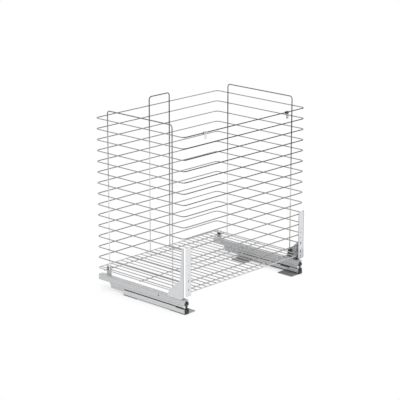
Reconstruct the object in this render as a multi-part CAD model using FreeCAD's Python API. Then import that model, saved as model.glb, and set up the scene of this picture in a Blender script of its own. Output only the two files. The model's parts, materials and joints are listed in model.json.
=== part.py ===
import FreeCAD, Part
import math
import os
from FreeCAD import Vector

# Wire basket on two full-extension floor slides, with brackets for a cabinet door.
# Millimetres. +Z up, the door side faces -Y, left is -X. The cabinet floor is Z = 0.

# Basket, measured between wire centre lines
basket_width = 543.0
basket_depth = 371.0
ring_count = 15
ring_pitch = 34.0
ring_wire = 3.0
ring_corner_radius = 12.0
floor_height = 65.6

# Grip loops that stand inside the rings
loop_wire = 3.5
loop_rise = 29.0
loop_corner_radius = 9.0
leg_to_cross_wire = 20.0
rear_loop_span = 89.0

# Floor mat: long wires from front to back, cross wires under them
floor_wire = 3.0
floor_wire_count = 25
floor_edge_gap = 13.5
cross_wire = 3.0
cross_wire_setback = 30.0

# Slides: stacked rails with ball cages between them
rail_inset = 2.0
rail_width = 17.0
rail_wall = 2.0
rail_web = 1.5
rail_bend = 2.0
inner_bend = 0.5
cabinet_rail_length = 260.0
cabinet_rail_height = 15.5
middle_rail_length = 320.0
middle_wall = 1.5
shoulder_height = 6.7
shoulder_inset = 0.2
shoulder_clearance = 0.3
head_height = 7.0
upper_head_height = 13.8
head_round = 1.0
rail_gap = 3.0
top_rail_setback = 2.0
top_rail_height = 18.0
end_gap = 0.5
ball_radius = 1.75
race_depth = 0.7
race_clearance = 0.04
race_bead_height = 4.4
race_bead_rise = 0.5
lower_race_height = 10.5
upper_race_height = 3.5
balls_per_row = 5
ball_pitch = 16.0
cage_wall = 1.1
cage_margin = 8.0
cage_back_gap = 1.3
cage_rim_setback = 0.5
cage_hole_clearance = 0.15
lower_cage_centre = 165.0
upper_cage_centre = 185.0
stop_slot_width = 3.5
stop_slot_height = 6.0
stop_slot_place = 109.0

# Black end pieces of the slides
bumper_thickness = 2.5
bumper_inset = 0.6
bumper_height = 18.5
bumper_rim = 1.6
bumper_core_height = 14.0
bumper_core_rise = 1.2
bumper_groove_width = 1.6
bumper_groove_depth = 1.0
bumper_base_gap = 0.3
plug_length = 8.0
plug_clearance = 0.3
cap_thickness = 1.6
cap_foot = 0.5
cap_round = 1.2
cap_block_height = 8.5
cap_block_rise = 1.2
cap_sleeve_wall = 1.8
cap_nose_start = 3.0
cap_nose_inset = 5.0
cap_nose_rise = 2.0
guide_length = 36.0
guide_round = 0.5
guide_floor_gap = 1.0
guide_rim_setback = 0.4
ledge_clearance = 0.4
ledge_round = 0.8
ledge_lip = 0.9
guide_lip_height = 1.3
catch_lip_height = 2.5
catch_length = 36.0
catch_start = 37.0

# Feet that carry the cabinet rails
foot_thickness = 2.0
foot_reach = 51.0
front_foot_length = 60.0
rear_foot_length = 57.0
foot_corner_radius = 4.0
foot_hole_radius = 2.6
foot_hole_spacing = 32.0

# Door brackets
sheet = 2.0
door_offset = 5.0
side_clearance = 0.3
bracket_height = 162.5
flange_width = 29.0
flange_foot = 11.5
plate_top_depth = 10.0
plate_waist_depth = 18.0
plate_waist_height = 61.5
gusset_reach = 70.0
gusset_tip_height = 7.0
gusset_shoulder_height = 23.0
gusset_shoulder_depth = 61.0
gusset_round = 12.0
bracket_round = 3.0
bracket_bend = 2.5
bracket_foot_start = 17.0
bracket_foot_width = 17.5
door_hole_inset = 18.0
door_slot_width = 5.0
door_slot_length = 12.0
door_slot_height = 78.0
door_slot_pitch = 28.0
door_hole_radius = 2.5
door_hole_low = 63.0
door_hole_low_pair = 91.0
door_hole_high = 123.0
door_hole_high_pair = 18.0

# Fasteners
screw_radius = 2.0
screw_head_radius = 4.0
screw_head_height = 2.0
screw_head_round = 0.8
rivet_radius = 1.75
rivet_head_radius = 3.0
rivet_head_height = 1.2
rivet_pitch = 22.0
hole_clearance = 0.05

# Rear supports that hold the last cross wire
support_thickness = 2.0
support_length = 33.0
support_base_height = 12.0
support_shoulder_drop = 1.0
support_neck = 20.0
support_top = 77.0
support_round = 4.0
support_foot_round = 2.0
support_rise = 3.5
support_setback = 10.0
snap_width = 10.0
snap_depth = 6.0
snap_drop = 6.5
snap_rise = 5.5

# Front holders that grip the loop's leg and the lowest ring
holder_width = 10.0
holder_cover = 4.5
holder_wall = 2.2
holder_round = 1.0

# Clips that tie the top ring to the door
clip_centre = 183.5
clip_width = 12.0
clip_height = 6.5
clip_depth = 7.5
clip_round = 1.2
tab_width = 9.0
tab_thickness = 1.5
tab_setback = 0.8
tab_drop = 19.0
tab_embed = 2.2
tab_round = 3.0
tab_hole_radius = 2.1
tab_hole_drop = 13.0

# Clearances between pieces that touch on the real basket
seat_gap = 0.05
wire_clearance = 0.05
wire_mouth = 2.4

# How far a cut runs past its surface, and how near two points count as one
cut_margin = 1.0
same_point = 0.001

# Places worked out from the sizes above
top_rail_length = basket_depth - top_rail_setback
overall_depth = door_offset + basket_depth + ring_wire / 2
door_plane = -overall_depth / 2
front_y = door_plane + door_offset
back_y = front_y + basket_depth
middle_y = (front_y + back_y) / 2
top_ring_z = floor_height + (ring_count - 1) * ring_pitch
loop_inset = (ring_wire + loop_wire) / 2 + seat_gap
cross_wire_reach = basket_depth / 2 - cross_wire_setback
side_loop_span = 2 * (cross_wire_reach - leg_to_cross_wire)
cross_z = floor_height - (floor_wire + cross_wire) / 2 - seat_gap
rear_cross_y = middle_y + cross_wire_reach
rail_outer = basket_width / 2 - rail_inset
rail_inner = rail_outer - rail_width
cabinet_base = foot_thickness + seat_gap
cabinet_top = cabinet_base + cabinet_rail_height
shoulder_base = cabinet_top + rail_gap
shoulder_top = shoulder_base + shoulder_height
top_base = shoulder_top + shoulder_clearance
top_face = top_base + top_rail_height
ledge_height = rail_gap - ledge_clearance
ball_u = rail_wall - race_depth + ball_radius
head_side = ball_u + ball_radius - race_depth
lower_race = cabinet_base + lower_race_height
upper_race = top_base + upper_race_height
lower_head = lower_race - head_height / 2
upper_head = shoulder_top + upper_head_height
plate_outer = basket_width / 2 + ring_wire / 2 + side_clearance + sheet
plate_inner = plate_outer - sheet
bracket_base = top_face + seat_gap
bracket_top = bracket_base + bracket_height
door_hole_x = plate_outer - door_hole_inset
leg_end = floor_height - ring_wire / 2
sides = {"left": -1, "right": 1}


def box(x0, x1, y0, y1, z0, z1):
    low = Vector(min(x0, x1), min(y0, y1), min(z0, z1))
    return Part.makeBox(abs(x1 - x0), abs(y1 - y0), abs(z1 - z0), low)


def rod(radius, start, end):
    return Part.makeCylinder(radius, (end - start).Length, start, end - start)


def rounded_wire(corners):
    """A closed wire through (point, radius) corners, with an arc at each corner that has a radius."""
    edges = []
    ends = []
    for index, (point, radius) in enumerate(corners):
        before = (corners[index - 1][0] - point).normalize()
        after = (corners[(index + 1) % len(corners)][0] - point).normalize()
        if radius == 0:
            ends.append((point, point, None))
            continue
        half_turn = before.getAngle(after) / 2
        reach = radius / math.tan(half_turn)
        bisector = (before + after).normalize()
        centre = point + bisector * (radius / math.sin(half_turn))
        ends.append((point + before * reach, point + after * reach, centre - bisector * radius))
    for index, (start, end, mid) in enumerate(ends):
        if mid is not None:
            edges.append(Part.Arc(start, mid, end).toShape())
        following = ends[(index + 1) % len(ends)][0]
        if (following - end).Length > same_point:
            edges.append(Part.LineSegment(end, following).toShape())
    return Part.Wire(edges)


def bent_wire(points, bend_radius, thickness):
    """A round wire that runs through the points, with the same bend at each inner point."""
    edges = []
    start = points[0]
    for before, point, after in zip(points, points[1:], points[2:]):
        back = (before - point).normalize()
        forward = (after - point).normalize()
        reach = bend_radius / math.tan(back.getAngle(forward) / 2)
        bisector = (back + forward).normalize()
        centre = point + bisector * (bend_radius / math.sin(back.getAngle(forward) / 2))
        edges.append(Part.LineSegment(start, point + back * reach).toShape())
        mid = centre - bisector * bend_radius
        edges.append(Part.Arc(point + back * reach, mid, point + forward * reach).toShape())
        start = point + forward * reach
    edges.append(Part.LineSegment(start, points[-1]).toShape())
    path = Part.Wire(edges)
    section = Part.Wire(Part.makeCircle(thickness / 2, points[0], points[1] - points[0]))
    return path.makePipeShell([section], True, False)


def sheet_in_yz(corners, x0, x1):
    """A plate with its outline in the YZ plane, from x0 to x1."""
    outline = [(Vector(x0, y, z), radius) for y, z, radius in corners]
    return Part.Face(rounded_wire(outline)).extrude(Vector(x1 - x0, 0, 0))


def rail_x(side, u):
    """X of a point u inside a rail's outer face."""
    return side * (rail_outer - u)


def profile_along_y(side, corners, y0, y1):
    """A straight section with its outline given as (u, z, radius) in the rail's own coordinates."""
    outline = [(Vector(rail_x(side, u), y0, z), radius) for u, z, radius in corners]
    return Part.Face(rounded_wire(outline)).extrude(Vector(0, y1 - y0, 0))


def races(side, height, y0, y1):
    """The two round tracks that a pair of ball rows runs in."""
    tracks = []
    for u in (ball_u, rail_width - ball_u):
        x = rail_x(side, u)
        tracks.append(rod(ball_radius + race_clearance, Vector(x, y0, height), Vector(x, y1, height)))
    return tracks


def race_bead(race, up):
    """The ridge that the pressed ball track makes in the outer face of a channel's wall."""
    half = race_bead_height / 2
    slope = race_bead_rise * 2
    return [
        (0, race + up * half, race_bead_rise), (-race_bead_rise, race + up * (half - slope), race_bead_rise),
        (-race_bead_rise, race - up * (half - slope), race_bead_rise), (0, race - up * half, race_bead_rise),
    ]


def channel(side, base, rim, race, y0, y1):
    """A channel rail, open towards the rim, with its web at the base and its ball tracks in the walls."""
    up = 1 if rim > base else -1
    near_bead = race_bead(race, up)
    far_bead = [(rail_width - u, z, radius) for u, z, radius in reversed(near_bead)]
    return profile_along_y(side, [
        (0, base, rail_bend),
        (rail_width, base, rail_bend),
        *far_bead,
        (rail_width, rim, 0),
        (rail_width - rail_wall, rim, 0),
        (rail_width - rail_wall, base + up * rail_web, inner_bend),
        (rail_wall, base + up * rail_web, inner_bend),
        (rail_wall, rim, 0),
        (0, rim, 0),
        *near_bead,
    ], y0, y1)


def cabinet_rail(side):
    end = front_y + cabinet_rail_length
    rail = channel(side, cabinet_base, cabinet_top, lower_race, front_y, end)
    return rail.cut(races(side, lower_race, front_y, end))


def top_rail(side):
    end = front_y + top_rail_length
    rail = channel(side, top_face, top_base, upper_race, front_y, end)
    cuts = races(side, upper_race, front_y, end)
    screw = Vector(rail_x(side, rail_width / 2), bracket_screw_y(), upper_race)
    cuts.append(rod(screw_radius + hole_clearance, screw, Vector(screw.x, screw.y, top_face + sheet)))
    for y in rivet_places():
        hole_start = Vector(rail_x(side, rail_width - rail_wall - cut_margin), y, rivet_height())
        hole_end = Vector(rail_x(side, rail_width + cut_margin), y, rivet_height())
        cuts.append(rod(rivet_radius + hole_clearance, hole_start, hole_end))
    slot_y = front_y + stop_slot_place
    slot_z = (top_base + top_face) / 2
    cuts.append(box(rail_x(side, -cut_margin), rail_x(side, rail_wall + cut_margin),
                    slot_y - stop_slot_width / 2, slot_y + stop_slot_width / 2,
                    slot_z - stop_slot_height / 2, slot_z + stop_slot_height / 2))
    cuts.append(box(rail_x(side, cap_nose_inset - seat_gap),
                    rail_x(side, rail_width - cap_nose_inset + seat_gap),
                    front_y + cap_nose_start - seat_gap, cap_plug_end() + seat_gap,
                    upper_race, top_face + cut_margin))
    return rail.cut(cuts)


def middle_section(side, inset, bend, y0, y1):
    """The middle rail's outline, inset by a wall: a head in each channel and a shoulder between them."""
    near = head_side + inset
    far = rail_width - near
    wide_near = shoulder_inset + inset
    wide_far = rail_width - wide_near
    low = lower_head + inset
    high = upper_head - inset
    base = shoulder_base + inset
    crown = shoulder_top - inset
    return profile_along_y(side, [
        (near, low, bend), (far, low, bend), (far, base, 0),
        (wide_far, base, bend), (wide_far, crown, bend), (far, crown, 0),
        (far, high, bend), (near, high, bend), (near, crown, 0),
        (wide_near, crown, bend), (wide_near, base, bend), (near, base, 0),
    ], y0, y1)


def middle_rail(side):
    """A hollow rail, with its upper head cut back at the front for the end cap's sleeve."""
    end = front_y + middle_rail_length
    rail = middle_section(side, 0, head_round, front_y, end)
    hollow = middle_section(side, middle_wall, 0, front_y, end)
    notch = box(rail_x(side, -cut_margin), rail_x(side, rail_width + cut_margin), front_y - cut_margin,
                front_y + plug_length, shoulder_top, top_face)
    cuts = races(side, lower_race, front_y, end) + races(side, upper_race, front_y, end)
    return rail.cut([hollow, notch, *cuts])


def cage_length():
    return (balls_per_row - 1) * ball_pitch + 2 * cage_margin


def ball_places(centre):
    first = front_y + centre - (balls_per_row - 1) * ball_pitch / 2
    return [first + index * ball_pitch for index in range(balls_per_row)]


def ball_cage(side, race, head, centre, up):
    """A strip folded round the end of a rail head, with a round window for each ball."""
    start = front_y + centre - cage_length() / 2
    end = start + cage_length()
    gap_middle = (rail_wall + head_side) / 2
    near = gap_middle - cage_wall / 2
    far = rail_width - near
    rim = race + up * (head_height / 2 - cage_rim_setback)
    back = head - up * (cage_back_gap + cage_wall)
    inside = back + up * cage_wall
    cage = profile_along_y(side, [
        (near, back, 0), (far, back, 0),
        (far, rim, 0), (far - cage_wall, rim, 0),
        (far - cage_wall, inside, 0), (near + cage_wall, inside, 0),
        (near + cage_wall, rim, 0), (near, rim, 0),
    ], start, end)
    windows = []
    for y in ball_places(centre):
        start_point = Vector(rail_x(side, near - cut_margin), y, race)
        end_point = Vector(rail_x(side, far + cut_margin), y, race)
        windows.append(rod(ball_radius + cage_hole_clearance, start_point, end_point))
    return cage.cut(windows)


def balls(side, race, centre):
    solids = []
    for y in ball_places(centre):
        for u in (ball_u, rail_width - ball_u):
            solids.append(Part.makeSphere(ball_radius, Vector(rail_x(side, u), y, race)))
    return Part.makeCompound(solids)


def foot(side, start, length):
    """A flat plate welded under the rail, with two screw holes beside it."""
    outer = side * rail_outer
    inner = side * (basket_width / 2 - foot_reach)
    corners = [
        (Vector(outer, start, 0), 0), (Vector(inner, start, 0), foot_corner_radius),
        (Vector(inner, start + length, 0), foot_corner_radius), (Vector(outer, start + length, 0), 0),
    ]
    plate = Part.Face(rounded_wire(corners)).extrude(Vector(0, 0, foot_thickness))
    x = side * (rail_inner + basket_width / 2 - foot_reach) / 2
    middle = start + length / 2
    holes = []
    for y in (middle - foot_hole_spacing / 2, middle + foot_hole_spacing / 2):
        low = Vector(x, y, -cut_margin)
        holes.append(rod(foot_hole_radius, low, Vector(x, y, foot_thickness + cut_margin)))
    return plate.cut(holes)


def edge_strip(side, edge_u, lip_height, start, end):
    """A strip on top of one wall of the cabinet rail, with a lip down that wall's outer face."""
    out = 1 if edge_u > 0 else -1
    inside = edge_u - out * (head_side - plug_clearance)
    wall = edge_u + out * seat_gap
    face = wall + out * ledge_lip
    low = cabinet_top + seat_gap
    high = cabinet_top + ledge_height
    return profile_along_y(side, [
        (inside, low, 0), (wall, low, 0),
        (wall, cabinet_top - lip_height, 0), (face, cabinet_top - lip_height, 0),
        (face, high, ledge_round), (inside, high, ledge_round),
    ], start, end)


def front_guide(side):
    """A liner in the cabinet rail's mouth, joined to a strip on the rail's outer wall."""
    start = front_y + end_gap
    end = front_y + guide_length
    near = rail_wall + seat_gap
    far = rail_width - near
    slot_near = head_side - plug_clearance
    slot_far = rail_width - slot_near
    base = cabinet_base + rail_web + seat_gap
    floor = lower_head - guide_floor_gap
    rim = cabinet_top - guide_rim_setback
    liner = profile_along_y(side, [
        (near, base, guide_round), (far, base, guide_round), (far, rim, 0), (slot_far, rim, 0),
        (slot_far, floor, 0), (slot_near, floor, 0), (slot_near, rim, 0), (near, rim, 0),
    ], start, end)
    strip = edge_strip(side, 0, guide_lip_height, start, end)
    neck = box(rail_x(side, near), rail_x(side, slot_near), start, end,
               rim - cut_margin, cabinet_top + ledge_height - ledge_round)
    return liner.fuse([strip, neck]).removeSplitter()


def slide_catch(side):
    """A black strip on the cabinet rail's inner wall."""
    start = front_y + catch_start
    return edge_strip(side, rail_width, catch_lip_height, start, start + catch_length)


def arch(side, inset, low, high, y0, y1):
    """A plate across a rail's end with a round top, set in from the rail's faces."""
    left = rail_x(side, inset)
    right = rail_x(side, rail_width - inset)
    centre = (left + right) / 2
    shoulder = high - abs(right - left) / 2
    outline = [
        Part.LineSegment(Vector(left, y0, low), Vector(left, y0, shoulder)).toShape(),
        Part.Arc(Vector(left, y0, shoulder), Vector(centre, y0, high),
                 Vector(right, y0, shoulder)).toShape(),
        Part.LineSegment(Vector(right, y0, shoulder), Vector(right, y0, low)).toShape(),
        Part.LineSegment(Vector(right, y0, low), Vector(left, y0, low)).toShape(),
    ]
    return Part.Face(Part.Wire(outline)).extrude(Vector(0, y1 - y0, 0))


def middle_bumper(side):
    """The arched black end of the middle rail: a rim, a window under its top and a core."""
    back = front_y - end_gap / 2
    front = back - bumper_thickness
    low = cabinet_base + bumper_base_gap
    high = low + bumper_height
    core_top = low + bumper_core_height
    plate = arch(side, bumper_inset, low, high, front, back)
    inner = bumper_inset + bumper_rim
    window = arch(side, inner, low, high - bumper_rim, front - cut_margin, back + cut_margin)
    core = box(rail_x(side, inner - same_point), rail_x(side, rail_width - inner + same_point),
               front - bumper_core_rise, back, low, core_top)
    middle = rail_x(side, rail_width / 2)
    groove = box(middle - bumper_groove_width / 2, middle + bumper_groove_width / 2,
                 front - bumper_core_rise - cut_margin, front - bumper_core_rise + bumper_groove_depth,
                 low - cut_margin, core_top + cut_margin)
    plug_side = head_side + middle_wall + seat_gap
    plug = box(rail_x(side, plug_side), rail_x(side, rail_width - plug_side),
               back - same_point, front_y + plug_length,
               lower_head + middle_wall + seat_gap, core_top)
    return plate.cut(window).fuse([core, plug]).removeSplitter().cut(groove)


def cap_plug_end():
    return front_y + plug_length - end_gap


def end_cap(side):
    """The black end of the top rail: a block over the mouth's lower half, a sleeve and a snap nose."""
    back = front_y - end_gap / 2
    front = back - cap_thickness
    low = top_base + cap_foot
    high = low + cap_block_height
    roof = top_face - rail_web - plug_clearance
    near = rail_wall + plug_clearance
    face = sorted([rail_x(side, bumper_inset), rail_x(side, rail_width - bumper_inset)])
    outline = [
        (Vector(face[0], front, low), cap_round), (Vector(face[1], front, low), cap_round),
        (Vector(face[1], front, high), cap_round), (Vector(face[0], front, high), cap_round),
    ]
    plate = Part.Face(rounded_wire(outline)).extrude(Vector(0, back - front, 0))
    block = box(rail_x(side, near), rail_x(side, rail_width - near), front - cap_block_rise, back,
                low + cap_round, high - cap_round)
    sleeve = box(rail_x(side, near), rail_x(side, rail_width - near), back - same_point, cap_plug_end(),
                 low, roof)
    bore = box(rail_x(side, near + cap_sleeve_wall), rail_x(side, rail_width - near - cap_sleeve_wall),
               back - cut_margin, cap_plug_end() + cut_margin, high, roof - cap_sleeve_wall)
    nose = sheet_in_yz([
        (front_y + cap_nose_start, roof - same_point, 0),
        (cap_plug_end(), roof - same_point, 0),
        (cap_plug_end(), top_face + cap_nose_rise, 0),
        (front_y + cap_nose_start, top_face, 0),
    ], rail_x(side, cap_nose_inset), rail_x(side, rail_width - cap_nose_inset))
    return sleeve.cut(bore).fuse([plate, block, nose]).removeSplitter()


def bracket_screw_y():
    """Midway between the start of the bracket's foot and the front holder."""
    foot_start = door_plane + bracket_foot_start
    holder_start = middle_y - side_loop_span / 2 - holder_width / 2
    return (foot_start + holder_start) / 2


def door_slot(x, height):
    """A vertical slot through the bracket's front flange."""
    y0 = door_plane - cut_margin
    y1 = door_plane + sheet + cut_margin
    half = (door_slot_length - door_slot_width) / 2
    radius = door_slot_width / 2
    low_end = rod(radius, Vector(x, y0, height - half), Vector(x, y1, height - half))
    high_end = rod(radius, Vector(x, y0, height + half), Vector(x, y1, height + half))
    return low_end.fuse([high_end, box(x - radius, x + radius, y0, y1, height - half, height + half)])


def bent_sheet(corners, depth):
    """A bent strip: its outline as (point, radius) corners, extruded by the depth."""
    return Part.Face(rounded_wire(corners)).extrude(depth)


def door_bracket(side):
    """One bent sheet: a side plate with a gusset, a front flange for the door and a foot on the top rail."""
    outer = side * plate_outer
    inner = side * plate_inner
    inside_bend = bracket_bend - sheet
    flange_edge = side * (plate_outer - flange_width)
    foot_edge = side * (plate_inner - bracket_foot_width)
    rear = door_plane + gusset_reach
    foot_start = door_plane + bracket_foot_start
    foot_top = bracket_base + sheet
    wall_base = bracket_base + bracket_bend
    outline = sheet_in_yz([
        (door_plane, bracket_top, 0),
        (door_plane + plate_top_depth, bracket_top, bracket_round),
        (door_plane + plate_waist_depth, bracket_base + plate_waist_height, gusset_round),
        (door_plane + gusset_shoulder_depth, bracket_base + gusset_shoulder_height, gusset_round),
        (rear, bracket_base + gusset_tip_height, bracket_round),
        (rear, bracket_base, 0),
        (foot_start, bracket_base, 0),
        (door_plane, bracket_base + flange_foot, 0),
    ], outer, flange_edge)
    wall = bent_sheet([
        (Vector(outer, door_plane, wall_base), bracket_bend),
        (Vector(flange_edge, door_plane, wall_base), 0),
        (Vector(flange_edge, door_plane + sheet, wall_base), 0),
        (Vector(inner, door_plane + sheet, wall_base), inside_bend),
        (Vector(inner, rear, wall_base), 0),
        (Vector(outer, rear, wall_base), 0),
    ], Vector(0, 0, bracket_top - wall_base))
    base = bent_sheet([
        (Vector(outer, foot_start, bracket_base), bracket_bend),
        (Vector(foot_edge, foot_start, bracket_base), 0),
        (Vector(foot_edge, foot_start, foot_top), 0),
        (Vector(inner, foot_start, foot_top), inside_bend),
        (Vector(inner, foot_start, wall_base + sheet), 0),
        (Vector(outer, foot_start, wall_base + sheet), 0),
    ], Vector(0, rear - foot_start, 0))
    holes = []
    for height in (door_slot_height, door_slot_height + door_slot_pitch):
        holes.append(door_slot(side * door_hole_x, height))
    for height in door_hole_heights():
        start = Vector(side * door_hole_x, door_plane - cut_margin, height)
        holes.append(rod(door_hole_radius, start, start + Vector(0, sheet + 2 * cut_margin, 0)))
    screw = Vector(rail_x(side, rail_width / 2), bracket_screw_y(), top_face)
    holes.append(rod(screw_radius + hole_clearance, screw, screw + Vector(0, 0, sheet + cut_margin)))
    return wall.common(outline).fuse(base).removeSplitter().cut(holes)


def door_hole_heights():
    low_pair = [door_hole_low, door_hole_low + door_hole_low_pair]
    high_pair = [door_hole_high, door_hole_high + door_hole_high_pair]
    return low_pair + high_pair


def bracket_screws():
    """The pan-headed screw that holds each bracket's foot to its top rail."""
    solids = []
    for side in sides.values():
        low = Vector(rail_x(side, rail_width / 2), bracket_screw_y(), top_face - rail_web)
        seat = Vector(low.x, low.y, bracket_base + sheet + seat_gap)
        crown = seat + Vector(0, 0, screw_head_height)
        head = rod(screw_head_radius, seat, crown)
        head = head.makeFillet(screw_head_round, [top_edge(head, crown.z)])
        solids.append(head.fuse(rod(screw_radius, low, crown)).removeSplitter())
    return Part.makeCompound(solids)


def top_edge(solid, height):
    return [edge for edge in solid.Edges if edge.BoundBox.ZMin > height - same_point][0]


def upright_edges(solid):
    return [edge for edge in solid.Edges if edge.BoundBox.ZLength > same_point]


def rivet_height():
    return top_face - support_rise - rivet_radius


def rivet_places():
    last = rear_cross_y - support_setback + support_length
    middle = last - support_length / 2
    return [middle - rivet_pitch / 2, middle + rivet_pitch / 2]


def support_rivets():
    """The rivets that hold each rear support to its top rail, with tapered heads."""
    solids = []
    for side in sides.values():
        for y in rivet_places():
            inside = Vector(rail_x(side, rail_width - rail_wall), y, rivet_height())
            seat = Vector(rail_x(side, rail_width + 2 * seat_gap + support_thickness), y, rivet_height())
            crown = seat + Vector(-side * rivet_head_height, 0, 0)
            cone = Part.makeCone(rivet_head_radius, rivet_radius, rivet_head_height, seat, crown - seat)
            solids.append(cone.fuse(rod(rivet_radius, inside, crown)).removeSplitter())
    return Part.makeCompound(solids)


def rear_support(side):
    """A forked plate on the inside of the top rail that rises past the last cross wire."""
    start = rear_cross_y - support_setback
    low = top_face - support_base_height
    shoulder = top_face - support_shoulder_drop
    plate = sheet_in_yz([
        (start, low, support_foot_round),
        (start + support_length, low, support_foot_round),
        (start + support_length, shoulder, support_foot_round),
        (start + support_neck, shoulder, support_foot_round),
        (start + support_neck, support_top, support_round),
        (start, support_top, support_round),
    ], rail_x(side, rail_width + seat_gap), rail_x(side, rail_width + seat_gap + support_thickness))
    near = rail_x(side, rail_width - cut_margin)
    far = rail_x(side, rail_width + support_thickness + cut_margin)
    fork = box(near, far, rear_cross_y - snap_width / 2, rear_cross_y + snap_width / 2,
               cross_z - snap_drop, support_top + cut_margin)
    holes = [fork]
    for y in rivet_places():
        rivet_start = Vector(near, y, rivet_height())
        rivet_end = Vector(far, y, rivet_height())
        holes.append(rod(rivet_radius + hole_clearance, rivet_start, rivet_end))
    return plate.cut(holes)


def support_snap(side):
    """A black clip in the fork that the cross wire snaps into from above."""
    middle = rail_x(side, rail_width + seat_gap + support_thickness / 2)
    x0 = middle - snap_depth / 2
    x1 = middle + snap_depth / 2
    radius = cross_wire / 2 + wire_clearance
    body = box(x0, x1, rear_cross_y - snap_width / 2 + seat_gap, rear_cross_y + snap_width / 2 - seat_gap,
               cross_z - snap_drop + seat_gap, cross_z + snap_rise)
    x0 -= cut_margin
    x1 += cut_margin
    seat = rod(radius, Vector(x0, rear_cross_y, cross_z), Vector(x1, rear_cross_y, cross_z))
    mouth = box(x0, x1, rear_cross_y - wire_mouth / 2, rear_cross_y + wire_mouth / 2,
                cross_z, cross_z + snap_rise + cut_margin)
    return body.cut([seat, mouth])


def front_holder(side):
    """A black block on the bracket's foot that grips the loop's front leg and the lowest ring."""
    leg_y = middle_y - side_loop_span / 2
    leg_x = side * (basket_width / 2 - loop_inset)
    outer = side * (plate_inner + sheet - bracket_bend)
    inner = leg_x - side * (loop_wire / 2 + holder_wall)
    low = bracket_base + sheet + seat_gap
    high = floor_height + holder_cover
    body = box(outer, inner, leg_y - holder_width / 2, leg_y + holder_width / 2, low, high)
    body = body.makeFillet(holder_round, upright_edges(body))
    ring_x = side * basket_width / 2
    ring_cut = rod(ring_wire / 2 + wire_clearance, Vector(ring_x, leg_y - holder_width, floor_height),
                   Vector(ring_x, leg_y + holder_width, floor_height))
    ring_mouth = box(ring_x - wire_mouth / 2, ring_x + wire_mouth / 2, leg_y - holder_width,
                     leg_y + holder_width, floor_height, high + cut_margin)
    leg_cut = rod(loop_wire / 2 + wire_clearance, Vector(leg_x, leg_y, leg_end - seat_gap),
                  Vector(leg_x, leg_y, high + cut_margin))
    return body.cut([ring_cut, ring_mouth, leg_cut])


def wall_ring(height):
    """One closed ring of wire with rounded corners."""
    half_width = basket_width / 2
    corners = [
        (Vector(-half_width, front_y, height), ring_corner_radius),
        (Vector(half_width, front_y, height), ring_corner_radius),
        (Vector(half_width, back_y, height), ring_corner_radius),
        (Vector(-half_width, back_y, height), ring_corner_radius),
    ]
    edges = rounded_wire(corners).Edges
    path = Part.Wire(edges[-1:] + edges[:-1])
    straight = path.Edges[0]
    start = straight.valueAt(straight.FirstParameter)
    direction = straight.tangentAt(straight.FirstParameter)
    section = Part.Wire(Part.makeCircle(ring_wire / 2, start, direction))
    return path.makePipeShell([section], True, False)


def side_loop(side):
    """A grip loop against the inside of a side wall."""
    x = side * (basket_width / 2 - loop_inset)
    high = top_ring_z + loop_rise
    front = middle_y - side_loop_span / 2
    rear = middle_y + side_loop_span / 2
    points = [
        Vector(x, front, leg_end), Vector(x, front, high),
        Vector(x, rear, high), Vector(x, rear, leg_end),
    ]
    return bent_wire(points, loop_corner_radius, loop_wire)


def rear_loop():
    """The narrow grip loop against the inside of the back wall, standing on the floor wires."""
    y = back_y - loop_inset
    low = floor_height + floor_wire / 2 + seat_gap
    high = top_ring_z + loop_rise
    half = rear_loop_span / 2
    points = [Vector(-half, y, low), Vector(-half, y, high), Vector(half, y, high), Vector(half, y, low)]
    return bent_wire(points, loop_corner_radius, loop_wire)


def floor_wires():
    """The long wires of the floor mat, each butted against the lowest ring at both ends."""
    first = floor_edge_gap - basket_width / 2
    pitch = -2 * first / (floor_wire_count - 1)
    start = front_y + ring_wire / 2 + seat_gap
    end = back_y - ring_wire / 2 - seat_gap
    solids = []
    for index in range(floor_wire_count):
        x = first + index * pitch
        solids.append(rod(floor_wire / 2, Vector(x, start, floor_height), Vector(x, end, floor_height)))
    return Part.makeCompound(solids)


def cross_wires():
    """The cross wires under the mat, with their ends under the lowest ring."""
    half = basket_width / 2
    solids = []
    for y in (middle_y - cross_wire_reach, middle_y, rear_cross_y):
        solids.append(rod(cross_wire / 2, Vector(-half, y, cross_z), Vector(half, y, cross_z)))
    return Part.makeCompound(solids)


def clip_bodies():
    """Black blocks that snap on the top ring's front wire."""
    solids = []
    for x in (-clip_centre, clip_centre):
        body = box(x - clip_width / 2, x + clip_width / 2, door_plane, door_plane + clip_depth,
                   top_ring_z - clip_height / 2, top_ring_z + clip_height / 2)
        body = body.makeFillet(clip_round, upright_edges(body))
        wire_cut = rod(ring_wire / 2 + wire_clearance, Vector(x - clip_width, front_y, top_ring_z),
                       Vector(x + clip_width, front_y, top_ring_z))
        mouth = box(x - clip_width, x + clip_width, front_y, door_plane + clip_depth + cut_margin,
                    top_ring_z - wire_mouth / 2, top_ring_z + wire_mouth / 2)
        pocket = box(x - tab_width / 2 - seat_gap, x + tab_width / 2 + seat_gap, tab_front() - seat_gap,
                     tab_front() + tab_thickness + seat_gap, top_ring_z - clip_height, tab_roof() + seat_gap)
        solids.append(body.cut([wire_cut, mouth, pocket]))
    return Part.makeCompound(solids)


def tab_front():
    return door_plane + tab_setback


def tab_roof():
    return top_ring_z - clip_height / 2 + tab_embed


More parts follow.
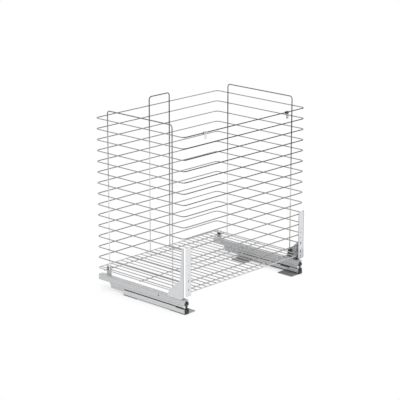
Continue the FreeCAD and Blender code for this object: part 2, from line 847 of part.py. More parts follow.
def clip_tabs():
    """Steel tabs that hang from the clips, with a screw hole for the door."""
    solids = []
    for x in (-clip_centre, clip_centre):
        y = tab_front()
        low = top_ring_z - tab_drop
        corners = [
            (Vector(x - tab_width / 2, y, low), tab_round), (Vector(x + tab_width / 2, y, low), tab_round),
            (Vector(x + tab_width / 2, y, tab_roof()), 0), (Vector(x - tab_width / 2, y, tab_roof()), 0),
        ]
        tab = Part.Face(rounded_wire(corners)).extrude(Vector(0, tab_thickness, 0))
        start = Vector(x, y - cut_margin, top_ring_z - tab_hole_drop)
        hole = rod(tab_hole_radius, start, start + Vector(0, tab_thickness + 2 * cut_margin, 0))
        solids.append(tab.cut(hole))
    return Part.makeCompound(solids)


def make_slide(name, side):
    """Every piece of one slide."""
    rear_start = front_y + cabinet_rail_length - rear_foot_length
    return {
        f"{name}_cabinet_rail": cabinet_rail(side),
        f"{name}_middle_rail": middle_rail(side),
        f"{name}_top_rail": top_rail(side),
        f"{name}_front_foot": foot(side, front_y, front_foot_length),
        f"{name}_rear_foot": foot(side, rear_start, rear_foot_length),
        f"{name}_front_guide": front_guide(side),
        f"{name}_slide_catch": slide_catch(side),
        f"{name}_middle_bumper": middle_bumper(side),
        f"{name}_end_cap": end_cap(side),
        f"{name}_lower_cage": ball_cage(side, lower_race, lower_head, lower_cage_centre, 1),
        f"{name}_lower_balls": balls(side, lower_race, lower_cage_centre),
        f"{name}_upper_cage": ball_cage(side, upper_race, upper_head, upper_cage_centre, -1),
        f"{name}_upper_balls": balls(side, upper_race, upper_cage_centre),
        f"{name}_door_bracket": door_bracket(side),
        f"{name}_front_holder": front_holder(side),
        f"{name}_rear_support": rear_support(side),
        f"{name}_support_snap": support_snap(side),
        f"{name}_side_loop": side_loop(side),
    }


def make_parts():
    parts = {}
    for name, side in sides.items():
        parts.update(make_slide(name, side))
    for index in range(ring_count):
        parts[f"wall_ring_{index + 1:02d}"] = wall_ring(floor_height + index * ring_pitch)
    parts["rear_loop"] = rear_loop()
    parts["floor_wires"] = floor_wires()
    parts["cross_wires"] = cross_wires()
    parts["clip_bodies"] = clip_bodies()
    parts["clip_tabs"] = clip_tabs()
    parts["bracket_screws"] = bracket_screws()
    parts["support_rivets"] = support_rivets()
    return parts


os.makedirs("parts", exist_ok=True)
for node, shape in make_parts().items():
    shape.exportStep(f"parts/{node}.step")
    print(node, "solids", len(shape.Solids), "valid", shape.isValid(), "volume", round(shape.Volume, 1))
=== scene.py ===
import json
import math

import bmesh
import bpy
from mathutils import Matrix, Vector

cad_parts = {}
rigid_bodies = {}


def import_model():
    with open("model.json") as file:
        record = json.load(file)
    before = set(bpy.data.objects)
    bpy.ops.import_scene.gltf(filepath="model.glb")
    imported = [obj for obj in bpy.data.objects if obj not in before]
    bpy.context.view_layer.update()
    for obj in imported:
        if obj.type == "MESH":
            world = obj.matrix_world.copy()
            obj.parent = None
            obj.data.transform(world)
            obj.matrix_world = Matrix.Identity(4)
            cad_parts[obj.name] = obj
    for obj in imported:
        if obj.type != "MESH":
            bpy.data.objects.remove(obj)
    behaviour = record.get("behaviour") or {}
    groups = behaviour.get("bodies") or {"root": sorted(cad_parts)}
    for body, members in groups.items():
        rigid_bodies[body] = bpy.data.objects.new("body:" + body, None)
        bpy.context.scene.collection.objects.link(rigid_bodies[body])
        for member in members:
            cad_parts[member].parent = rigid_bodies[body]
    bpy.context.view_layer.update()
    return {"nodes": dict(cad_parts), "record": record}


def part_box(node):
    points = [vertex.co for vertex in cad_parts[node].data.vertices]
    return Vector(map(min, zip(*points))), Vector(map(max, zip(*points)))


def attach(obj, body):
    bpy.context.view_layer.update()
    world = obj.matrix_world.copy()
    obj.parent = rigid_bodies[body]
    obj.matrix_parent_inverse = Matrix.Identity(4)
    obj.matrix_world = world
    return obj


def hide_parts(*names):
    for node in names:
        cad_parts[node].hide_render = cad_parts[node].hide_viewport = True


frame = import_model()
print("stage: packed basket loaded,", len(frame["nodes"]), "nodes")


class Value:
    # wraps an output socket, so that arithmetic on it adds Math nodes
    def __init__(self, nodes, socket):
        self.nodes = nodes
        self.socket = socket

    def reckon(self, operation, first, second):
        return self.nodes.node("ShaderNodeMath", {"operation": operation}, {0: first, 1: second}).value(0)

    def __add__(self, other):
        return self.reckon("ADD", self, other)

    def __radd__(self, other):
        return self.reckon("ADD", other, self)

    def __sub__(self, other):
        return self.reckon("SUBTRACT", self, other)

    def __rsub__(self, other):
        return self.reckon("SUBTRACT", other, self)

    def __mul__(self, other):
        return self.reckon("MULTIPLY", self, other)

    def __rmul__(self, other):
        return self.reckon("MULTIPLY", other, self)

    def largest(self, other):
        return self.reckon("MAXIMUM", self, other)


class Made:
    # a node that was added, with its outputs wrapped
    def __init__(self, nodes, raw):
        self.nodes = nodes
        self.raw = raw

    def value(self, key):
        return Value(self.nodes, self.raw.outputs[key])


def padded(colour):
    # sockets and ramp stops ask for alpha as well
    return (*colour, 1) if isinstance(colour, tuple) and len(colour) == 3 else colour


def setStops(ramp, stops):
    while len(ramp.elements) < len(stops):
        ramp.elements.new(0.5)
    for element, (position, colour) in zip(ramp.elements, stops):
        element.position = position
        element.color = padded(colour)


class Nodes:
    # one node tree, emptied first, to which every node is added by the same call
    def __init__(self, tree):
        self.tree = tree
        tree.nodes.clear()

    def node(self, kind, settings=None, sockets=None):
        raw = self.tree.nodes.new(kind)
        for key, setting in (settings or {}).items():
            if key == "stops":
                setStops(raw.color_ramp, setting)
            else:
                setattr(raw, key, setting)
        for key, given in (sockets or {}).items():
            if isinstance(given, Value):
                self.tree.links.new(given.socket, raw.inputs[key])
            else:
                raw.inputs[key].default_value = given
        return Made(self, raw)


class Finish(Nodes):
    # one material; places on it are in metres from the frame's origin
    def __init__(self, name):
        self.material = bpy.data.materials.new(name)
        self.material.use_nodes = True
        super().__init__(self.material.node_tree)
        self.place = self.node("ShaderNodeTexCoord").value("Object")

    def noise(self, scale, detail, roughness=0.5, stretch=(1, 1, 1)):
        mapped = self.node("ShaderNodeMapping", sockets={"Vector": self.place, "Scale": stretch}).value(0)
        sockets = {"Vector": mapped, "Scale": scale, "Detail": detail, "Roughness": roughness}
        return self.node("ShaderNodeTexNoise", sockets=sockets).value("Fac")

    def ramp(self, axis, low, high, interpolation="SMOOTHSTEP"):
        # 0 at the first place along x, y or z and 1 at the second
        along = self.node("ShaderNodeSeparateXYZ", sockets={0: self.place}).value("xyz".index(axis))
        sockets = {"Value": along, "From Min": low, "From Max": high}
        return self.node("ShaderNodeMapRange", {"interpolation_type": interpolation}, sockets).value(0)

    def band(self, axis, low, high, blur):
        # 1 between two places and 0 outside them
        return self.ramp(axis, low - blur, low + blur) * self.ramp(axis, high + blur, high - blur)

    def overlap(self, places):
        # 1 only where all the given bands meet
        bands = [self.band(*place) for place in places]
        return math.prod(bands[1:], start=bands[0])

    def mix(self, factor, first, second):
        # colours as (r, g, b) or links; 6, 7 and output 2 are the node's colour sockets
        sockets = {0: factor, 6: padded(first), 7: padded(second)}
        return self.node("ShaderNodeMix", {"data_type": "RGBA"}, sockets).value(2)

    def spread(self, factor, low, high):
        # a factor from 0 to 1 turned into a range of numbers
        return factor * (high - low) + low

    def coat(self, colour, relief, settings, gloss=None):
        # the roughness follows the gloss, or else the relief, which also lifts the surface if it has a depth
        sockets = {"Base Color": colour, "Roughness": self.spread(gloss or relief, *settings["rough"])}
        if settings["depth"]:
            lift = {"Height": relief, "Distance": settings["depth"], "Strength": 1.0}
            sockets["Normal"] = self.node("ShaderNodeBump", sockets=lift).value(0)
        shader = self.node("ShaderNodeBsdfPrincipled", sockets={**sockets, **settings["steady"]})
        self.node("ShaderNodeOutputMaterial", sockets={"Surface": shader.value(0)})
        return self.material


wireSurface = {
    "streakScale": 260, "cloudScale": 11, "detail": 2, "cloudShare": 0.22, "cloudTone": (0.05, 0.05, 0.05),
    "rough": (0.14, 0.3), "steady": {"Metallic": 1.0}, "depth": 0.00002,
}


def platedWire(finish, tone, settings=wireSurface):
    # bright plating over drawn wire: fine streaks and a slow change of tone
    streaks = finish.noise(settings["streakScale"], settings["detail"])
    clouds = finish.noise(settings["cloudScale"], settings["detail"])
    colour = finish.mix(clouds * settings["cloudShare"], tone, settings["cloudTone"])
    return finish.coat(colour, streaks, settings)


# painted reflections of the room and the floor on the ring wires, set by place
ringReflectionTones = {
    "left": (0.34, 0.338, 0.334), "right": (0.32, 0.318, 0.318),
    "backLeft": (0.17, 0.168, 0.166), "backRight": (0.3, 0.298, 0.296),
    "frontLowLeft": (0.34, 0.338, 0.334), "frontLowRight": (0.2, 0.198, 0.194),
    "frontHigh": (0.028, 0.028, 0.027), "lowestRing": (0.52, 0.518, 0.52),
    "leftPlace": -0.2, "rightPlace": 0.27, "lowPlace": 0.1, "highPlace": 0.5,
    "frontFrom": -0.176, "frontTo": -0.183, "backFrom": 0.18, "backTo": 0.187, "lowestBlur": 0.01,
}


def ringWire(tones):
    # painted reflections: wires that face the door side are darkened for the dark part of the room that they
    # mirror, and the lowest ring is paled for the floor that it mirrors
    finish = Finish("ringWire")
    across = finish.ramp("x", tones["leftPlace"], tones["rightPlace"])
    upward = finish.ramp("z", tones["lowPlace"], tones["highPlace"])
    sides = finish.mix(across, tones["left"], tones["right"])
    back = finish.mix(across, tones["backLeft"], tones["backRight"])
    frontLow = finish.mix(across, tones["frontLowLeft"], tones["frontLowRight"])
    front = finish.mix(upward, frontLow, tones["frontHigh"])
    walls = finish.mix(finish.ramp("y", tones["backFrom"], tones["backTo"]), sides, back)
    walls = finish.mix(finish.ramp("y", tones["frontFrom"], tones["frontTo"]), walls, front)
    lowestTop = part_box("wall_ring_01")[1][2]
    above = finish.ramp("z", lowestTop, lowestTop + tones["lowestBlur"])
    return platedWire(finish, finish.mix(above, tones["lowestRing"], walls))


# the painted reflection tones of each loop's two legs, the one with the smaller y or x first, at the heights
# below
loopReflectionTones = {
    "left": {"axis": "y", "first": (0.75, 0.6, 0.34, 0.26, 0.21), "last": (0.95, 0.98, 0.5, 0.4, 0.21)},
    "right": {"axis": "y", "first": (0.62, 0.85, 0.2, 0.03, 0.2), "last": (0.85, 0.95, 0.33, 0.02, 0.2)},
    "rear": {"axis": "x", "first": (0.85, 0.85, 0.8, 0.07, 0.1), "last": (0.7, 0.33, 0.2, 0.03, 0.1)},
}
loopLegs = {
    "heights": (0.13, 0.254, 0.38, 0.5, 0.565), "low": 0.06, "high": 0.58,
    "warmth": (1, 0.99, 0.98), "blend": 0.05,
}


def loopWire(name, settings=loopLegs):
    # painted reflections: upright legs are painted pale where they mirror the floor below and dark where they
    # mirror the dark part of the room above
    finish = Finish(f"{name}LoopWire")
    tones = loopReflectionTones[name]
    low, high, blend = settings["low"], settings["high"], settings["blend"]
    height = finish.ramp("z", low, high, "LINEAR")
    positions = [(z - low) / (high - low) for z in settings["heights"]]
    legs = []
    for leg in ("first", "last"):
        colours = [tuple(tone * share for share in settings["warmth"]) for tone in tones[leg]]
        stops = list(zip(positions, colours))
        legs.append(finish.node("ShaderNodeValToRGB", {"stops": stops}, {"Fac": height}).value("Color"))
    return platedWire(finish, finish.mix(finish.ramp(tones["axis"], -blend, blend), *legs))


matSurface = {"tone": (0.5, 0.498, 0.505)}

sheetSurface = {
    "spangle": 38, "spangleDetail": 4, "spangleRoughness": 0.6, "spangleShare": 0.6, "contrast": 0.1,
    "grain": 900, "grainDetail": 2, "grainStretch": (1, 0.12, 1), "grainShare": 0.4,
    "rough": (0.32, 0.5), "steady": {"Metallic": 0.55}, "depth": 0.000006,
}


def zincSheet(name, tone, marks=(), settings=sheetSurface):
    # bright zinc on rolled sheet: soft blotches and a fine grain, with painted light and shade in other tones
    # where a mark's bands meet
    finish = Finish(name)
    blotches = finish.noise(settings["spangle"], settings["spangleDetail"], settings["spangleRoughness"])
    grain = finish.noise(settings["grain"], settings["grainDetail"], stretch=settings["grainStretch"])
    pale = tuple(min(1, channel * (1 + settings["contrast"])) for channel in tone)
    colour = finish.mix(blotches, tone, pale)
    # each mark lays painted light or shade over the sheet's colour
    for places, paintedShadingTone in marks:
        colour = finish.mix(finish.overlap(places), colour, paintedShadingTone)
    gloss = blotches * settings["spangleShare"] + grain * settings["grainShare"]
    return finish.coat(colour, grain, settings, gloss)


plasticFinish = {
    "tone": (0.012, 0.012, 0.014), "wornTone": (0.04, 0.04, 0.044),
    "grain": 1400, "grainDetail": 3, "wear": 60, "wearDetail": 4, "wearRoughness": 0.65,
    "rough": (0.38, 0.6), "steady": {"Specular IOR Level": 0.45}, "depth": 0.00003,
}
# painted light on the cap's sleeve and painted shade on the far clip
capFinish = {**plasticFinish, "sleeveHollowLight": (0.42, 0.42, 0.43), "sleeveBase": 0.0365, "sleeveBlur": 0.001}
clipFinish = {
    **plasticFinish, "tone": (0.34, 0.34, 0.345), "wornTone": (0.44, 0.44, 0.44), "grain": 1200,
    "farShadeTone": (0.03, 0.03, 0.032), "farBlend": 0.05,
}


def mouldedPlastic(name, settings):
    # moulded nylon with a fine eroded texture; painted light greys the end cap's sleeve to look like the lit
    # hollow at the rail's open end, and painted shade darkens the far clip
    finish = Finish(name)
    grain = finish.noise(settings["grain"], settings["grainDetail"])
    wear = finish.noise(settings["wear"], settings["wearDetail"], settings["wearRoughness"])
    colour = finish.mix(wear, settings["tone"], settings["wornTone"])
    # painted shade on the clip on the far side
    if "farShadeTone" in settings:
        far = finish.ramp("x", -settings["farBlend"], settings["farBlend"])
        colour = finish.mix(far, colour, settings["farShadeTone"])
    # painted light on the sleeve above the black block, for the lit hollow at the rail's end
    if "sleeveHollowLight" in settings:
        above = finish.ramp("z", settings["sleeveBase"], settings["sleeveBase"] + settings["sleeveBlur"])
        colour = finish.mix(above, colour, settings["sleeveHollowLight"])
    return finish.coat(colour, grain, settings)


ballFinish = {  # hardened balls under a thin film of grease
    "tone": (0.5, 0.5, 0.52), "otherTone": (0.42, 0.41, 0.38), "scale": 420, "detail": 3, "roughness": 0.5,
    "rough": (0.08, 0.22), "steady": {"Metallic": 1.0}, "depth": 0,
}
fastenerFinish = {
    "tone": (0.42, 0.43, 0.46), "otherTone": (0.62, 0.63, 0.66), "scale": 500, "detail": 3, "roughness": 0.6,
    "rough": (0.25, 0.45), "steady": {"Metallic": 0.9}, "depth": 0.00002,
}


def mottledMetal(name, settings):
    # two tones, the gloss and the relief all follow one fine noise
    finish = Finish(name)
    mottle = finish.noise(settings["scale"], settings["detail"], settings["roughness"])
    return finish.coat(finish.mix(mottle, settings["tone"], settings["otherTone"]), mottle, settings)


# painted shade: the right slide's tones are darker than the left's for the shade under the basket
slideTones = {
    "left": {
        "rail": (0.5, 0.51, 0.515), "foot": (0.34, 0.345, 0.35), "support": (0.55, 0.55, 0.565),
        "plate": (0.58, 0.59, 0.6), "flange": (0.68, 0.69, 0.7), "edgeHeight": 0.0016,
    },
    "right": {
        "rail": (0.42, 0.43, 0.44), "foot": (0.28, 0.285, 0.295), "support": (0.5, 0.5, 0.56),
        "plate": (0.44, 0.445, 0.455), "flange": (0.66, 0.665, 0.68), "edgeHeight": 0.0042,
    },
    # most of the shared tones below are painted shade lines, painted shadows and painted highlights
    "edge": (0.09, 0.09, 0.1), "nose": (0.9, 0.9, 0.9), "fold": (0.42, 0.425, 0.43),
    "crown": (0.62, 0.625, 0.63), "groove": (0.06, 0.06, 0.065), "cabinetRailShare": 1.12,
    "creaseShade": (0.42, 0.43, 0.44), "innerEdgeShade": (0.46, 0.465, 0.47), "foldHighlight": (0.95, 0.95, 0.95),
    "foldShadeLine": (0.4, 0.4, 0.42), "gusset": (0.1, 0.1, 0.105),
    "tab": (0.66, 0.66, 0.67), "farTabShade": (0.3, 0.3, 0.31),
}
farAway = 1  # metres, past every end of the basket

# start, end and blur of each band of painted light or shade in metres, counted from an edge of the sheet, or
# from the frame's origin for gussetHeight and tabBand
bracketBands = {
    "flange": (-0.002, 0.0017, 0.0006), "creaseShade": (0.0018, 0.0055, 0.0008),
    "innerEdgeShade": (-0.0012, 0.0012, 0.0005), "foldHighlight": (-0.00094, 0.0047, 0.0006),
    "foldShadeLine": (0.0051, 0.0081, 0.0006),
    "gussetDepth": (0.002, 0.03, 0.005), "gussetHeight": (0.03, 0.085, 0.01),
}
railBands = {
    "fold": (-0.0026, -0.0012, 0.0005), "crown": (-0.0004, 0.001, 0.0003),
    "groove": (-0.002, 0.0032, 0.0003), "nose": (0.003, farAway, 0.0003), "bareEnd": (0.002, 0.006, 0.0006),
    "noseLength": 0.004, "noseBlur": 0.0005, "backGap": 0.001, "backBlur": 0.001,
    "edgeStart": -0.001, "edgeBlur": 0.0006,
}
tabBand = (0, farAway, 0.01)


def bandFrom(axis, edge, band):
    start, end, blur = band
    return (axis, edge + start, edge + end, blur)


def flipped(band):
    # the same band on the other side of its edge
    start, end, blur = band
    return (-end, -start, blur)


def bracketSheet(side, tones, bands):
    # painted light and shade: the front flange is painted paler than the side plate for the light that it
    # faces, with a painted highlight along its fold, painted shade in the crease and a painted shade line
    # along its free edge; on the right, a painted shade line beside the fold and painted shade over the
    # gusset
    low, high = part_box(f"{side}_door_bracket")
    front = low[1]
    inner, outer = (high[0], low[0]) if side == "left" else (low[0], high[0])
    foldHighlight = bands["foldHighlight"] if side == "left" else flipped(bands["foldHighlight"])
    flange = bandFrom("y", front, bands["flange"])
    marks = [
        ([flange], tones[side]["flange"]),
        ([bandFrom("y", front, bands["creaseShade"])], tones["creaseShade"]),
        ([flange, bandFrom("x", inner, bands["innerEdgeShade"])], tones["innerEdgeShade"]),
        ([flange, bandFrom("x", outer, foldHighlight)], tones["foldHighlight"]),
    ]
    if side == "right":
        gusset = [bandFrom("y", front, bands["gussetDepth"]), ("z", *bands["gussetHeight"])]
        marks.append(([flange, bandFrom("x", outer, flipped(bands["foldShadeLine"]))], tones["foldShadeLine"]))
        marks.append((gusset, tones["gusset"]))
    return zincSheet(f"{side}Bracket", tones[side]["plate"], marks)


def topRailSheet(side, tones, bands):
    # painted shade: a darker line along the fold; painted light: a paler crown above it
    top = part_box(f"{side}_top_rail")[1][2]
    marks = [([bandFrom("z", top, bands[name])], tones[name]) for name in ("fold", "crown")]
    return zincSheet(f"{side}TopRail", tones[side]["rail"], marks)


def middleRailSheet(side, tones, bands):
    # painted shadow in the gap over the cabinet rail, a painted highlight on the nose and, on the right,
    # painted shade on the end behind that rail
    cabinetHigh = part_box(f"{side}_cabinet_rail")[1]
    top, back = cabinetHigh[2], cabinetHigh[1] + bands["backGap"]
    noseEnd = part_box(f"{side}_middle_rail")[0][1] + bands["noseLength"]
    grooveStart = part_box("right_slide_catch")[0][1] if side == "right" else -farAway
    groove = [bandFrom("z", top, bands["groove"]), ("y", grooveStart, back, bands["backBlur"])]
    nose = [bandFrom("z", top, bands["nose"]), ("y", -farAway, noseEnd, bands["noseBlur"])]
    marks = [(groove, tones["groove"]), (nose, tones["nose"])]
    if side == "right":
        bareEnd = [bandFrom("z", top, bands["bareEnd"]), ("y", back, farAway, bands["backBlur"])]
        marks.append((bareEnd, tones["edge"]))
    return zincSheet(f"{side}MiddleRail", tones[side]["rail"], marks)


def cabinetRailSheet(side, tones, bands):
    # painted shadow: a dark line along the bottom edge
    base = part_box(f"{side}_cabinet_rail")[0][2]
    edge = bandFrom("z", base, (bands["edgeStart"], tones[side]["edgeHeight"], bands["edgeBlur"]))
    paler = tuple(channel * tones["cabinetRailShare"] for channel in tones[side]["rail"])
    return zincSheet(f"{side}CabinetRail", paler, [([edge], tones["edge"])])


def steelFinishes(tones):
    # painted shade: the clip tabs on the far side are darker
    made = {"clip_tabs": zincSheet("clipTabs", tones["tab"], [([("x", *tabBand)], tones["farTabShade"])])}
    for side in ("left", "right"):
        made[f"{side}_top_rail"] = topRailSheet(side, tones, railBands)
        made[f"{side}_middle_rail"] = middleRailSheet(side, tones, railBands)
        made[f"{side}_cabinet_rail"] = cabinetRailSheet(side, tones, railBands)
        made[f"{side}_door_bracket"] = bracketSheet(side, tones, bracketBands)
        made[f"{side}_rear_support"] = zincSheet(f"{side}Support", tones[side]["support"])
        foot = zincSheet(f"{side}Foot", tones[side]["foot"])
        made.update({f"{side}_front_foot": foot, f"{side}_rear_foot": foot})
    return made


finishes = {
    "left_side_loop": loopWire("left"),
    "right_side_loop": loopWire("right"),
    "rear_loop": loopWire("rear"),
    **dict.fromkeys(("floor_wires", "cross_wires"), platedWire(Finish("matWire"), matSurface["tone"])),
    "clip_bodies": mouldedPlastic("greyClips", clipFinish),
    **dict.fromkeys(("left_end_cap", "right_end_cap"), mouldedPlastic("capPlastic", capFinish)),
    **steelFinishes(slideTones),
}
slotFinishes = {
    "chrome_wire": ringWire(ringReflectionTones),
    "black_plastic": mouldedPlastic("blackPlastic", plasticFinish),
    "ball_steel": mottledMetal("polishedBalls", ballFinish),
    "fastener_steel": mottledMetal("platedFasteners", fastenerFinish),
}


def dressNodes():
    for part in frame["record"]["subparts"]:
        piece = bpy.data.objects[part["node"]]
        finish = finishes.get(part["node"]) or slotFinishes[part["material_slot"]]
        if not piece.material_slots:
            piece.data.materials.append(finish)
        for slot in piece.material_slots:
            slot.material = finish


dressNodes()


def addObject(name, data):
    added = bpy.data.objects.new(name, data)
    bpy.context.scene.collection.objects.link(added)
    return added


def meshOf(shape, name):
    mesh = bpy.data.meshes.new(name)
    shape.to_mesh(mesh)
    shape.free()
    return mesh


def keepPiece(name, mesh, finish, body):
    for face in mesh.polygons:
        face.use_smooth = True
    piece = addObject(name, mesh)
    mesh.materials.clear()
    mesh.materials.append(finish)
    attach(piece, body)
    return piece


def addBlob(shape, centre, radii):
    # one rounded blob of set metal
    made = bmesh.ops.create_icosphere(shape, subdivisions=2, radius=1.0)
    for vertex in made["verts"]:
        vertex.co = Vector(centre) + Vector(part * radius for part, radius in zip(vertex.co, radii))


weldSurface = {  # plating over a squeezed joint is duller than on the drawn wire
    "scale": 700, "detail": 3, "roughness": 0.6,
    "rough": (0.3, 0.5), "steady": {"Metallic": 1.0}, "depth": 0.00005,
}
weldMarks = {
    "along": 0.0018, "through": 0.0009, "collar": 0.0018, "rings": 15, "matWires": 25,
    "tone": (0.4, 0.395, 0.39), "otherTone": (0.22, 0.215, 0.21), **weldSurface,
}


def loopJoints(settings):
    # each leg of a grip loop meets every ring that it passes
    ringLow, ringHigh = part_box("wall_ring_01")
    ringWide = ringHigh[2] - ringLow[2]
    rings = [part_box(f"wall_ring_{number:02d}") for number in range(1, settings["rings"] + 1)]
    heights = [(low[2] + high[2]) / 2 for low, high in rings]
    along, through = settings["along"], settings["through"]
    joints = []
    for name, x in (("left_side_loop", ringLow[0] + ringWide), ("right_side_loop", ringHigh[0] - ringWide)):
        low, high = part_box(name)
        radius = (high[0] - low[0]) / 2
        for y in (low[1] + radius, high[1] - radius):
            joints += [((x, y, z), (through, along, along)) for z in heights]
    low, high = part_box("rear_loop")
    radius = (high[1] - low[1]) / 2
    for x in (low[0] + radius, high[0] - radius):
        joints += [((x, ringHigh[1] - ringWide, z), (along, through, along)) for z in heights[1:]]
        joints.append(((x, high[1] - radius, low[2]), (along, along, through)))
    return joints


def matJoints(settings):
    # the long wires lie on the cross wires and butt against the lowest ring
    matLow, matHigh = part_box("floor_wires")
    crossLow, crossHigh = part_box("cross_wires")
    ringLow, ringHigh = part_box("wall_ring_01")
    radius = (matHigh[2] - matLow[2]) / 2
    along, through, collar = settings["along"], settings["through"], settings["collar"]
    first, last = matLow[0] + radius, matHigh[0] - radius
    pitch = (last - first) / (settings["matWires"] - 1)
    wires = [first + pitch * number for number in range(settings["matWires"])]
    crossPlaces = (crossLow[1] + radius, (crossLow[1] + crossHigh[1]) / 2, crossHigh[1] - radius)
    edges = [ringLow[0] + radius, ringHigh[0] - radius]
    joints = [((x, y, matLow[2]), (along, along, through)) for x in wires + edges for y in crossPlaces]
    middle = (matLow[2] + matHigh[2]) / 2
    joints += [((x, y, middle), (collar, through, collar)) for x in wires for y in (matLow[1], matHigh[1])]
    return joints


def buildWeldMarks(settings):
    shape = bmesh.new()
    joints = loopJoints(settings) + matJoints(settings)
    for centre, radii in joints:
        addBlob(shape, centre, radii)
    finish = mottledMetal("wireWelds", settings)
    keepPiece("basket_weld_marks", meshOf(shape, "basket_weld_marks"), finish, "basket")
    print("stage:", len(joints), "weld marks on the basket")


buildWeldMarks(weldMarks)

footBeads = {
    "length": 0.016, "ripples": 9, "radii": (0.0012, 0.0014, 0.0011), "inset": 0.006,
    "tone": (0.3, 0.3, 0.31), "otherTone": (0.16, 0.15, 0.15), **weldSurface,
}


def buildFootBeads(settings):
    # short rippled beads in the corner between a rail's inner side and its foot, two at each foot
    shape = bmesh.new()
    step = settings["length"] / (settings["ripples"] - 1)
    for side in ("left", "right"):
        railLow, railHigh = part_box(f"{side}_cabinet_rail")
        x = railHigh[0] if side == "left" else railLow[0]
        for place in ("front", "rear"):
            low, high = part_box(f"{side}_{place}_foot")
            for start in (low[1] + settings["inset"], high[1] - settings["inset"] - settings["length"]):
                for ripple in range(settings["ripples"]):
                    addBlob(shape, (x, start + ripple * step, high[2]), settings["radii"])
    finish = mottledMetal("footWelds", settings)
    keepPiece("foot_weld_beads", meshOf(shape, "foot_weld_beads"), finish, "cabinet_rails")
    print("stage: weld beads on the feet")


buildFootBeads(footBeads)

screwHeads = {
    "headRadius": 0.004, "headHeight": 0.002, "crownRound": 0.0009, "roundSteps": 6,
    "shankRadius": 0.002, "sides": 48, "sharpAngle": 35,
    "slotWidth": 0.0009, "slotLength": 0.0046, "slotDepth": 0.0011, "slotTurns": (20, 110),
    "taperBelow": 0.6, "taperAbove": 1.2,
}


def turned(shape, profile, centre, sides):
    # a closed profile of (radius, height) turned about an upright line
    rows = []
    for radius, height in profile:
        turns = [2 * math.pi * step / sides for step in range(sides if radius > 0 else 1)]
        around = [Vector((radius * math.cos(turn), radius * math.sin(turn), height)) for turn in turns]
        rows.append([shape.verts.new(Vector(centre) + point) for point in around])
    for lower, upper in zip(rows, rows[1:]):
        for step in range(sides):
            after = (step + 1) % sides
            corners = [lower[step % len(lower)], lower[after % len(lower)],
                       upper[after % len(upper)], upper[step % len(upper)]]
            shape.faces.new(list(dict.fromkeys(corners)))


def screwBlank(settings, centre, shankLength):
    # a pan head with a rounded crown on a plain shank
    radius, crown, rounding = settings["headRadius"], settings["headHeight"], settings["crownRound"]
    shank = settings["shankRadius"]
    arc = []
    for step in range(settings["roundSteps"] + 1):
        turn = math.pi / 2 * step / settings["roundSteps"]
        outward, upward = rounding * math.cos(turn), rounding * math.sin(turn)
        arc.append((radius - rounding + outward, crown - rounding + upward))
    profile = [(0, -shankLength), (shank, -shankLength), (shank, 0), (radius, 0), *arc, (0, crown)]
    shape = bmesh.new()
    turned(shape, profile, centre, settings["sides"])
    return addObject("screwBlank", meshOf(shape, "screwBlank"))


def slotCutter(settings, centre, turn):
    # a tapered blade that leaves one arm of the cross recess
    halfLong, halfWide = settings["slotLength"] / 2, settings["slotWidth"] / 2
    base, top = settings["headHeight"] - settings["slotDepth"], settings["headHeight"] + settings["slotDepth"]
    shape = bmesh.new()
    for vertex in bmesh.ops.create_cube(shape, size=2.0)["verts"]:
        below = vertex.co.z < 0
        taper = settings["taperBelow"] if below else settings["taperAbove"]
        flat = Vector((vertex.co.x * halfLong * taper, vertex.co.y * halfWide, 0))
        flat.rotate(Matrix.Rotation(turn, 3, "Z"))
        vertex.co = Vector(centre) + flat + Vector((0, 0, base if below else top))
    return addObject("slotCutter", meshOf(shape, "slotCutter"))


def cutScrew(settings, centre, shankLength):
    blank = screwBlank(settings, centre, shankLength)
    cutters = [slotCutter(settings, centre, math.radians(turn)) for turn in settings["slotTurns"]]
    for cutter in cutters:
        cut = blank.modifiers.new("recess", "BOOLEAN")
        cut.object = cutter
        cut.operation = "DIFFERENCE"
        cut.solver = "EXACT"
    drawn = blank.evaluated_get(bpy.context.evaluated_depsgraph_get())
    mesh = bpy.data.meshes.new_from_object(drawn)
    for spare in (blank, *cutters):
        bpy.data.objects.remove(spare)
    return mesh


def buildScrews(settings, finish):
    # pan heads with a cross recess stand for the plain screws
    low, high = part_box("bracket_screws")
    seat = high[2] - settings["headHeight"]
    y = (low[1] + high[1]) / 2
    for side, x in (("left", low[0] + settings["headRadius"]), ("right", high[0] - settings["headRadius"])):
        mesh = cutScrew(settings, (x, y, seat), seat - low[2])
        piece = keepPiece(f"{side}_bracket_screw", mesh, finish, "basket")
        mesh.set_sharp_from_angle(angle=math.radians(settings["sharpAngle"]))
        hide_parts("bracket_screws")
    print("stage: bracket screws with their recesses")


buildScrews(screwHeads, slotFinishes["fastener_steel"])

studio = {
    "floorTone": 0.96, "floorContrast": 0.02, "floorClouds": 1.5, "cloudDetail": 2, "floorReach": 12.0,
    "shadowReach": 0.012, "shadowBlur": 0.03, "shadowShare": 0.75,
    "backdrop": (1, 1, 1, 1), "backdropLight": 1.0, "worldLight": 0.92, "lampAim": (0, 0, 0.25),
    "keyPlace": (-2.2, -2.6, 3.0), "keySize": 2.4, "keyPower": 60,
    "fillPlace": (2.6, -1.8, 1.8), "fillSize": 2.0, "fillPower": 14,
}


def shadowMask(finish, settings):
    # the floor's own shading shows close round the two slides and fades to the white backdrop
    reach, blur = settings["shadowReach"], settings["shadowBlur"]
    masks = []
    for side in ("left", "right"):
        low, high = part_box(f"{side}_top_rail")
        spans = [(axis, low[place] - reach, high[place] + reach, blur) for place, axis in enumerate("xy")]
        masks.append(finish.overlap(spans))
    return masks[0].largest(masks[1]) * settings["shadowShare"]


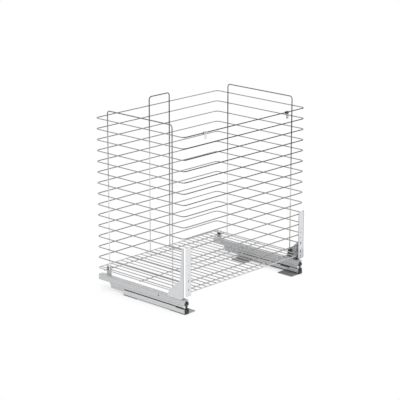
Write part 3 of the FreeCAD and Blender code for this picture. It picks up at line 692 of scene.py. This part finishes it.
def floorFinish(settings):
    # shades as a pale floor for the object's light, but is plain white to the camera and in mirrors
    finish = Finish("paleFloor")
    dark, pale = settings["floorTone"], settings["floorTone"] + settings["floorContrast"]
    clouds = finish.noise(settings["floorClouds"], settings["cloudDetail"])
    tone = finish.mix(clouds, (dark, dark, dark), (pale, pale, pale))
    matt = finish.node("ShaderNodeBsdfDiffuse", sockets={"Color": tone}).value(0)
    glow = {"Color": settings["backdrop"], "Strength": settings["backdropLight"]}
    white = finish.node("ShaderNodeEmission", sockets=glow).value(0)
    rays = finish.node("ShaderNodeLightPath")
    seen = rays.value("Is Camera Ray").largest(rays.value("Is Glossy Ray"))
    seen = seen.largest(rays.value("Is Transmission Ray"))
    share = seen * (1 - shadowMask(finish, settings))
    blend = finish.node("ShaderNodeMixShader", sockets={0: share, 1: matt, 2: white})
    finish.node("ShaderNodeOutputMaterial", sockets={"Surface": blend.value(0)})
    return finish.material


def buildFloor(settings):
    shape = bmesh.new()
    bmesh.ops.create_grid(shape, x_segments=1, y_segments=1, size=settings["floorReach"])
    floor = addObject("studioFloor", meshOf(shape, "studioFloor"))
    floor.data.materials.append(floorFinish(settings))


def buildWorld(settings):
    # white to the camera and in mirrors, and a little less as a light
    world = bpy.data.worlds.new("studioWorld")
    bpy.context.scene.world = world
    world.use_nodes = True
    sky = Nodes(world.node_tree)
    rays = sky.node("ShaderNodeLightPath")
    seen = rays.value("Is Camera Ray").largest(rays.value("Is Glossy Ray"))
    layers = {}
    for place, strength in enumerate((settings["worldLight"], settings["backdropLight"]), start=1):
        glow = {"Color": settings["backdrop"], "Strength": strength}
        layers[place] = sky.node("ShaderNodeBackground", sockets=glow).value(0)
    blend = sky.node("ShaderNodeMixShader", sockets={0: seen, **layers})
    sky.node("ShaderNodeOutputWorld", sockets={"Surface": blend.value(0)})


def addLamp(name, settings):
    data = bpy.data.lights.new(f"{name}Lamp", "AREA")
    data.shape = "DISK"
    data.size = settings[f"{name}Size"]
    data.energy = settings[f"{name}Power"]
    lamp = addObject(f"{name}Lamp", data)
    lamp.location = settings[f"{name}Place"]
    lamp.rotation_mode = "QUATERNION"
    toAim = Vector(settings["lampAim"]) - Vector(settings[f"{name}Place"])
    lamp.rotation_quaternion = toAim.to_track_quat("-Z", "Y")


def buildStudio(settings):
    buildFloor(settings)
    buildWorld(settings)
    addLamp("key", settings)
    addLamp("fill", settings)
    bpy.context.scene.view_settings.view_transform = "Standard"
    print("stage: floor, world and lamps built")


buildStudio(studio)

# distances are counted in ring pitches, from the lowest ring's left front corner
cameraSet = {
    "azimuth": -46.65, "elevation": 15.928, "roll": 0.051, "pitchesAway": 143.115,
    "targetAcross": 2.016, "targetUp": 8.119, "ringPitch": 0.034, "wireRadius": 0.0015,
    "focalPixels": 1655.6, "imagePixels": 400, "sensor": 36.0, "clipStart": 0.1, "clipEnd": 100,
}


def buildCamera(settings):
    pitch = settings["ringPitch"]
    corner = Vector([place + settings["wireRadius"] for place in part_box("wall_ring_01")[0]])
    target = corner + Vector((settings["targetAcross"], 0, settings["targetUp"])) * pitch
    turn, rise = math.radians(settings["azimuth"]), math.radians(settings["elevation"])
    back = Vector((math.sin(turn) * math.cos(rise), -math.cos(turn) * math.cos(rise), math.sin(rise)))
    data = bpy.data.cameras.new("shotCamera")
    data.sensor_width = settings["sensor"]
    data.lens = settings["focalPixels"] / settings["imagePixels"] * settings["sensor"]
    data.clip_start, data.clip_end = settings["clipStart"], settings["clipEnd"]
    camera = addObject("shotCamera", data)
    camera.location = target + back * settings["pitchesAway"] * pitch
    camera.rotation_mode = "QUATERNION"
    level = (-back).to_track_quat("-Z", "Y")
    roll = Matrix.Rotation(math.radians(settings["roll"]), 4, "Z").to_quaternion()
    camera.rotation_quaternion = level @ roll
    bpy.context.scene.camera = camera
    print("stage: camera placed, lens", round(data.lens, 1), "mm")


buildCamera(cameraSet)
